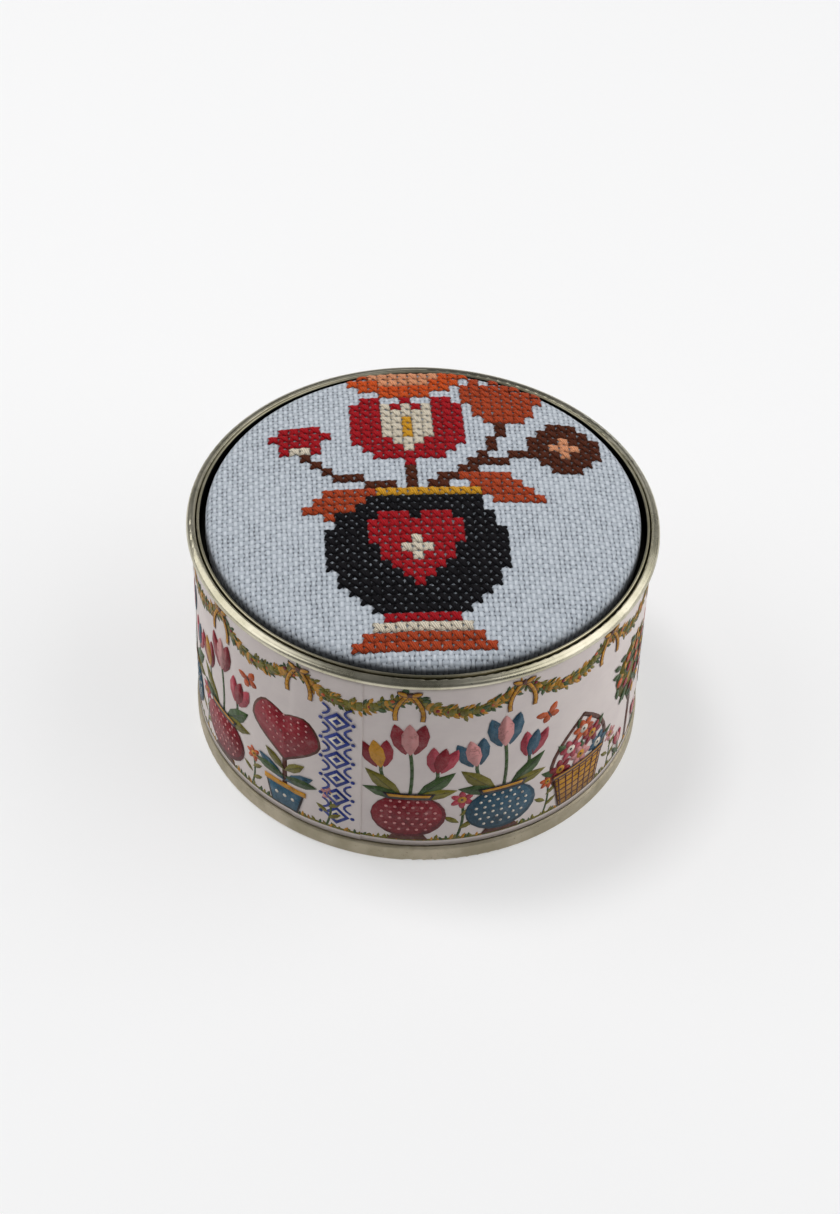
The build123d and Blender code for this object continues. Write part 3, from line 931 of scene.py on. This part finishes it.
def cushion_profile(shrink):
    """Half section of the pad in millimetres, from the middle of its top round to its underside's."""
    low = cushion_box[0][2] / MM + shrink
    high = cushion_box[1][2] / MM - shrink
    edge = cushion_box[1][0] / MM - shrink
    shoulder = 1.3
    crown = 2.05
    points = [(edge * k / 12, high - crown * (k / 11.3) ** 2) for k in range(12)]
    for k in range(7):
        angle = pi / 2 * (1 - k / 6)
        points.append((edge - shoulder * (1 - cos(angle)), high - crown - shoulder * (1 - sin(angle))))
    points += [(edge, low + 1.0), (edge - 0.3, low + 0.3), (edge - 1.0, low), (edge * 0.5, low), (0, low)]
    return points


def cloth_run(radius, height, top):
    """How far the cloth runs from the middle of the cushion to a point on it, in millimetres."""
    bend = 36.5
    bend_to_hem = 11
    if height < cushion_box[0][2] / MM + 0.6:
        return bend + bend_to_hem + (cushion_box[1][0] / MM - radius)
    if radius <= bend:
        return radius
    return bend + hypot(radius - bend, max(0.0, top - height - 2.0))


def skin_of(mesh):
    """Surface of a mesh, to look for its nearest point or for where a line meets it."""
    return BVHTree.FromPolygons([v.co for v in mesh.vertices], [p.vertices for p in mesh.polygons])


def spun_pad():
    """The pad spun from its half section, PAD_SCALE times its size."""
    shape = bmesh.new()
    section = [shape.verts.new((x, 0, z)) for x, z in cushion_profile(0.12)]
    for first, second in zip(section, section[1:]):
        shape.edges.new((first, second))
    outline = section + shape.edges[:]
    bmesh.ops.spin(
        shape, geom=outline, cent=(0, 0, 0), axis=(0, 0, 1), angle=2 * pi, steps=96, use_merge=True
    )
    bmesh.ops.remove_doubles(shape, verts=shape.verts, dist=0.001)
    bmesh.ops.recalc_face_normals(shape, faces=shape.faces)
    resize(shape, PAD_SCALE * MM)
    return add("pad", cast(shape, "pad"))


def settle(pad, view):
    """Put what a pad's modifiers make of it in place of its mesh."""
    mesh = bpy.data.meshes.new_from_object(pad.evaluated_get(view))
    pad.modifiers.clear()
    pad.data = mesh


def inflate(context, pad):
    """Blow a pad up as cloth that is held by its side and underside."""
    scene = context.scene
    crown = 4.6
    foot_of_crown = (cushion_box[1][2] / MM - crown) * MM * PAD_SCALE
    held = pad.vertex_groups.new(name="held")
    held.add([v.index for v in pad.data.vertices if v.co.z < foot_of_crown], 1.0, "REPLACE")
    cloth = pad.modifiers.new("cloth", "CLOTH")
    cloth.settings.quality = 8
    cloth.settings.vertex_group_mass = "held"
    cloth.settings.use_pressure = True
    cloth.settings.uniform_pressure_force = 4.0
    cloth.settings.effector_weights.gravity = 0.0
    steps = 20
    cloth.point_cache.frame_start = 1
    cloth.point_cache.frame_end = steps
    for number in range(1, steps + 1):
        scene.frame_set(number)
    settle(pad, context.evaluated_depsgraph_get())
    scene.frame_set(1)


def clear_of_wadding(shape):
    """Keep the cloth's top and side a gap away from the padding inside it."""
    gap = 0.3 * MM
    stuffing = skin_of(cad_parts["cushion_wadding"].data)
    for vert in shape.verts:
        point, normal, _, _ = stuffing.find_nearest(vert.co)
        above = (vert.co - point).dot(normal)
        if vert.co.z > cushion_box[0][2] + 3 * MM and above < gap:
            vert.co += normal * (gap - above)


def spread_pattern(shape):
    """Lay the cover's flat pattern by how far its cloth runs from the middle."""
    top = max(v.co.z for v in shape.verts)

    def place(spot):
        radius = hypot(spot.x, spot.y)
        reach = cloth_run(radius, spot.z, top) / max(radius, 0.001)
        return spot.x * reach * MM, spot.y * reach * MM

    lay_flat(shape, place)


class TIN_OT_cushion(bpy.types.Operator):
    """Stuff the pincushion, draw its cloth over it and give its board, wadding and gathering thread their
    finishes
    """

    bl_idname = "tin.cushion"
    bl_label = "Stuff the Cushion"

    def execute(self, context):
        scene = context.scene
        pad = spun_pad()
        remesh = pad.modifiers.new("even", "REMESH")
        remesh.mode = "VOXEL"
        remesh.voxel_size = 0.005
        view = context.view_layer.depsgraph
        view.update()
        settle(pad, view)
        before = [v.co.copy() for v in pad.data.vertices]
        inflate(context, pad)
        shape = bmesh.new()
        shape.from_mesh(pad.data)
        bpy.data.objects.remove(pad)
        most = 0.28 * MM * PAD_SCALE
        for vert, start in zip(shape.verts, before):
            move = vert.co - start
            if move.length > most:
                vert.co = start + move * (most / move.length)
        axes = {"use_axis_x": True, "use_axis_y": True, "use_axis_z": True}
        bmesh.ops.smooth_vert(shape, verts=shape.verts, factor=0.5, **axes)
        bmesh.ops.subdivide_edges(shape, edges=shape.edges, cuts=1, use_grid_fill=True, smooth=1.0)
        resize(shape, 1 / PAD_SCALE)
        clear_of_wadding(shape)
        resize(shape, 1 / MM)
        spread_pattern(shape)
        cloth = evenweave(scene.tin_sizes, scene.tin_colours)
        cushion = finish_piece(shape, "cushion", cloth, "lid", ["cushion_cover"])
        tones = ink(132, 118, 98), ink(186, 172, 148)
        card = grainy("pulp_card", *tones, 900.0, 4.0, 0.7, 0.0001, stretch=4, Roughness=0.9)
        fibrous = {"Roughness": 0.95, "Sheen_Weight": 0.4, "Sheen_Roughness": 0.5}
        tones = ink(206, 204, 198), ink(240, 238, 232)
        padding = grainy("polyester_wadding", *tones, 900.0, 5.0, 0.75, 0.0004, **fibrous)
        tones = ink(176, 168, 150), ink(228, 222, 206)
        linen = grainy("linen_thread", *tones, 4000.0, 5.0, 0.75, 0.0004, **fibrous)
        dress("cushion_board", card)
        dress("cushion_wadding", padding)
        dress("gathering_thread", linen)
        return {"FINISHED"}


def squares(inside):
    """Every square of the counted cloth whose column and row are inside a form."""
    span = range(-21, 22)
    return {(c, r) for c in span for r in span if inside(c, r)}


def disc(column, row, across, up):
    """Round or oval motif about a middle square."""
    return squares(lambda c, r: ((c - column) / across) ** 2 + ((r - row) / up) ** 2 <= 1)


def band(column, low, high, half_low, half_high):
    """Upright band between two rows, whose half width changes evenly from low to high."""
    widening = (half_high - half_low) / max(high - low, 1)

    def inside(c, r):
        return low <= r <= high and abs(c - column) <= half_low + widening * (r - low)

    return squares(inside)


def heart(column, row, size):
    """Heart about a middle square."""

    def inside(c, r):
        x = (c - column) / size
        y = (r - row) / size
        return (x * x + y * y - 1) ** 3 <= x * x * y**3

    return squares(inside)


def leaf(column, row, long, width, turn):
    """Pointed leaf from its stalk end, leaning by a turn in degrees."""
    lean = radians(turn)

    def inside(c, r):
        along = (c - column) * cos(lean) + (r - row) * sin(lean)
        aside = (r - row) * cos(lean) - (c - column) * sin(lean)
        return 0 <= along <= long and abs(aside) <= width * sin(pi * along / long) + 0.1

    return squares(inside)


def tulip(column, row, half, height):
    """Cup of petals with three tips, standing on a row."""

    def inside(c, r):
        across = (c - column) / half
        if abs(across) > 1:
            return False
        foot = row + height * 0.5 * (1 - (1 - across * across) ** 0.5)
        tip = row + height * (0.72 + 0.28 * abs(cos(1.5 * pi * across)))
        return foot <= r <= tip

    return squares(inside)


def stem(*points):
    """Single line of stitches from point to point."""
    filled = set()
    for (c0, r0), (c1, r1) in zip(points, points[1:]):
        steps = max(abs(c1 - c0), abs(r1 - r0), 1)
        for k in range(steps + 1):
            filled.add((round(c0 + (c1 - c0) * k / steps), round(r0 + (r1 - r0) * k / steps)))
    return filled


def vase_chart(sizes):
    """The footed vase of flowers as {(column, row): thread}, worked in order."""
    bowl = disc(-1, -6, 8.4, 8) - band(-1, -21, -14, 9, 9) - band(-1, 0, 3, 9, 9)
    motifs = [
        ("brown", stem((-1, 2), (-1, 6)) | stem((1, 2), (6, 5), (12, 6))),
        ("brown", stem((-3, 2), (-8, 3), (-11, 6)) | stem((2, 2), (7, 7), (8, 11))),
        ("rust", band(-1, -17, -16, 6, 5)),
        ("cream", band(-1, -15, -15, 4, 4)),
        ("red", band(-1, -14, -14, 3, 3)),
        ("black", bowl | band(-1, 0, 0, 6, 6)),
        ("gold", band(-1, 1, 1, 7, 7)),
        ("red", heart(-1, -6.2, 3.9)),
        ("cream", disc(-1, -6, 1.2, 1.2)),
        ("red", tulip(-1, 5, 5.6, 9.6)),
        ("cream", tulip(-1, 7, 2.6, 6.4)),
        ("gold", stem((-1, 9), (-1, 11))),
        ("orange", disc(-1, 18.6, 6.4, 3.9) - {(-4, 15), (2, 15)}),
        ("peach", disc(-1, 18.4, 3.4, 2.2)),
        ("rust", tulip(8.5, 10, 3.6, 8)),
        ("brown", disc(14, 7, 3.2, 3.3)),
        ("peach", disc(14, 7, 1.1, 1.1)),
        ("rust", leaf(4, 3, 8, 1.7, -25) | leaf(-5, 1, 7, 1.7, 200)),
        ("red", tulip(-11.5, 6, 2.5, 4.6)),
        ("cream", {(-12, 7), (-11, 7)}),
    ]
    chart = {}
    for thread, filled in motifs:
        for column, row in filled:
            reach = hypot(column * 2 * sizes.thread_across, row * 2 * sizes.thread_up)
            if reach <= cushion_box[1][0] - 0.9 * MM:
                chart[column, row] = thread
    return chart


def thread_leg(run, wide, thick):
    """One leg of a stitch along x, in millimetres: a flat strand that dives in at both ends."""
    shape = bmesh.new()
    lying = Matrix.Rotation(pi / 2, 4, "Y")
    bmesh.ops.create_cone(
        shape, segments=8, radius1=0.5, radius2=0.5, depth=1.0, cap_ends=True, matrix=lying
    )
    long_edges = [e for e in shape.edges if abs(e.verts[0].co.x - e.verts[1].co.x) > 0.5]
    bmesh.ops.subdivide_edges(shape, edges=long_edges, cuts=3)
    lay_flat(shape, lambda spot: (spot.x * run * MM, spot.y * wide * MM))
    for vert in shape.verts:
        along = 2 * vert.co.x
        swell = 1 - 0.42 * along**4
        vert.co.x *= run
        vert.co.y *= wide * swell
        vert.co.z = vert.co.z * thick * swell + thick * (0.36 - 0.56 * along**4)
    return cast(shape, "leg")


class TIN_OT_embroidery(bpy.types.Operator):
    """Work the cross-stitched vase of flowers on the cushion, one piece for each thread"""

    bl_idname = "tin.embroidery"
    bl_label = "Work the Embroidery"

    def execute(self, context):
        scene = context.scene
        sizes = scene.tin_sizes
        skin = skin_of(scene.objects["cushion"].data)
        across = 2 * sizes.thread_across
        up = 2 * sizes.thread_up
        run = hypot(across, up) / MM
        slope = Vector((across, up)).angle(Vector((1, 0)))
        lift = sizes.stitch_lift / MM
        leg = thread_leg(run * 1.02, wide=1.08, thick=lift * 0.78)
        dice = random.Random(sizes.seed)
        lay = Matrix.Rotation(sizes.cloth_turn, 4, "Z")
        overhead = Vector((0, 0, 0.1))
        down = Vector((0, 0, -1))
        chart = vase_chart(sizes)
        for thread in sorted(set(chart.values())):
            shape = bmesh.new()
            for (column, row), used in sorted(chart.items()):
                if used != thread:
                    continue
                middle = lay @ Vector((column * across, row * up, 0))
                point, normal, _, _ = skin.ray_cast(middle + overhead, down)
                stand = (-down).rotation_difference(normal).to_matrix().to_4x4()
                for turn, rise in ((slope, 0.0), (-slope, lift * 0.40)):
                    known = len(shape.verts)
                    shape.from_mesh(leg)
                    shape.verts.ensure_lookup_table()
                    made = shape.verts[known:]
                    for vert in made:
                        vert.co.z += rise * max(0.0, 1 - (2 * vert.co.x / run) ** 2)
                    lean = Matrix.Rotation(turn + dice.gauss(0, 0.055), 4, "Z")
                    spans = ((0.94, 1.04), (0.86, 1.10), (0.85, 1.18))
                    uneven = Matrix.Diagonal((*(dice.uniform(*span) for span in spans), 1))
                    place = Matrix.Translation(point / MM) @ stand @ lay @ lean @ uneven
                    bmesh.ops.transform(shape, matrix=place, verts=made)
            finish = stranded_cotton(thread, tuple(getattr(scene.tin_colours, thread)))
            replaced = ["embroidery_" + thread]
            finish_piece(shape, "stitches_" + thread, finish, "lid", replaced)
        return {"FINISHED"}


def lay_floor():
    """Wide pale floor, which glows a little to the eye and in reflections only."""
    shape = bmesh.new()
    bmesh.ops.create_grid(shape, x_segments=1, y_segments=1, size=6.0)
    floor = add("floor", cast(shape, "floor"))
    mix = Recipe("pale_floor")
    rays = mix.node("LightPath", {})
    seen = mix.calc("MAXIMUM", rays.outputs["Is Camera Ray"], rays.outputs["Is Glossy Ray"])
    glow = mix.times(seen, 0.42)
    matte = mix.node("BsdfDiffuse", {"Color": (0.51, 0.51, 0.51)}).outputs[0]
    light = mix.node("Emission", {"Color": (1, 1, 1), "Strength": glow}).outputs[0]
    both = mix.node("AddShader", {0: matte, 1: light}).outputs[0]
    mix.tree.links.new(both, mix.output.inputs[0])
    floor.data.materials.append(mix.material)


def hang_lamps(scene):
    """A faint sky, and square lamps that look at the middle of the foot."""
    world = bpy.data.worlds.new("studio")
    scene.world = world
    world.use_nodes = True
    colour_in, strength_in = world.node_tree.nodes["Background"].inputs[:2]
    colour_in.default_value = (0.93, 0.95, 1.0, 1)
    strength_in.default_value = 0.12
    for name, place, wide, high, watts in (
        ("key", (-0.25, 0.16, 0.95), 0.22, 0.22, 3.2),
        ("left", (-0.80, 0.02, 0.60), 0.95, 0.90, 4.4),
        ("right", (0.80, 0.00, 0.60), 1.30, 1.1, 7.7),
        ("back", (0.0, 0.88, 0.48), 1.4, 0.45, 1.3),
    ):
        lamp = bpy.data.lights.new(name, "AREA")
        lamp.shape = "RECTANGLE"
        lamp.size = wide
        lamp.size_y = high
        lamp.energy = watts
        holder = add(name, lamp)
        holder.visible_glossy = name != "key"
        facing = Vector(place).to_track_quat("Z", "Y").to_matrix().to_4x4()
        holder.matrix_world = Matrix.Translation(place) @ facing


def set_camera(scene):
    """Camera in front of the tin and above it, rolled a little."""
    lens = bpy.data.cameras.new("camera")
    lens.lens = 76.55
    lens.sensor_width = 36.0
    lens.clip_start = 0.01
    camera = add("camera", lens)
    rise = radians(44.30)
    roll = radians(2.25)
    distance = 0.4902
    aim = Vector((0, 0, 0.02385))
    back = Vector((0, -cos(rise), sin(rise)))
    level = Vector((1, 0, 0))
    upright = back.cross(level)
    right = level * cos(roll) + upright * sin(roll)
    up = upright * cos(roll) - level * sin(roll)
    turn = Matrix((right, up, back)).transposed().to_4x4()
    camera.matrix_world = Matrix.Translation(aim + back * distance) @ turn
    scene.camera = camera


class TIN_OT_stage(bpy.types.Operator):
    """Set the pale floor, the soft lamps and the camera"""

    bl_idname = "tin.stage"
    bl_label = "Set the Stage"

    def execute(self, context):
        scene = context.scene
        lay_floor()
        hang_lamps(scene)
        set_camera(scene)
        scene.view_settings.view_transform = "Standard"
        return {"FINISHED"}


OPERATORS = (
    TIN_OT_metal,
    TIN_OT_label,
    TIN_OT_label_print,
    TIN_OT_cushion,
    TIN_OT_embroidery,
    TIN_OT_stage,
)


class TIN_PT_panel(bpy.types.Panel):
    """Lists the tin's pieces, sizes and colours"""

    bl_label = "Sewing Tin"
    bl_idname = "TIN_PT_panel"
    bl_space_type = "VIEW_3D"
    bl_region_type = "UI"
    bl_category = "Sewing Tin"

    def draw(self, context):
        layout = self.layout
        for operator in OPERATORS:
            layout.operator(operator.bl_idname)
        for group in (context.scene.tin_sizes, context.scene.tin_colours):
            box = layout.box()
            for name in group.__annotations__:
                box.prop(group, name)


CLASSES = (TinSizes, TinColours, *OPERATORS, TIN_PT_panel)


def register():
    """Add the classes and the scene's own settings."""
    for item in CLASSES:
        bpy.utils.register_class(item)
    bpy.types.Scene.tin_sizes = PointerProperty(type=TinSizes)
    bpy.types.Scene.tin_colours = PointerProperty(type=TinColours)


def unregister():
    """Take the classes and the scene's settings away again."""
    del bpy.types.Scene.tin_colours
    del bpy.types.Scene.tin_sizes
    for item in reversed(CLASSES):
        bpy.utils.unregister_class(item)


def main():
    """Build every piece in order."""
    register()
    bpy.ops.tin.metal()
    bpy.ops.tin.label()
    bpy.ops.tin.label_print()
    bpy.ops.tin.cushion()
    bpy.ops.tin.embroidery()
    bpy.ops.tin.stage()


if __name__ == "__main__":
    main()
